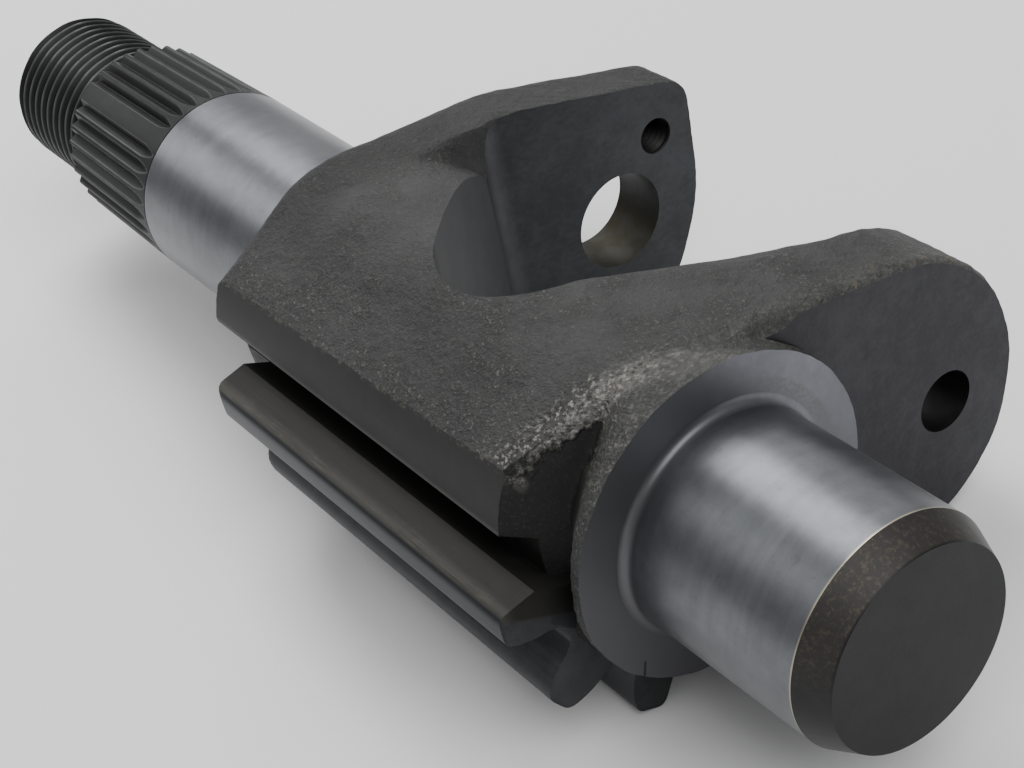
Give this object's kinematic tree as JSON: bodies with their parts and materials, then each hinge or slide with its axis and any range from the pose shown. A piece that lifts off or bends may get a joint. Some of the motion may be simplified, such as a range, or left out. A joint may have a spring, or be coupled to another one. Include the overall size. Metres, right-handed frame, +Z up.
{
  "type": "forged yoke shaft",
  "caption": "Steel forging with pierced ears, a gear sector on its back, bearing journals, taper serrations and a threaded end.",
  "frame": {"origin": "centre of the journal at the plain end, on the shaft axis, halfway along its full-diameter stretch", "axes": "+X along the shaft to the plain end, +Y level and out towards the fork's open side, +Z up; the part lies on its last tooth and the lower edge of an ear"},
  "size_m": [0.2549, 0.1077, 0.0633],
  "materials": {
    "forging": "as forged with machined journals and faces"
  },
  "bodies": {
    "root": {"yoke_shaft": "forging"}
  },
  "joints": []
}
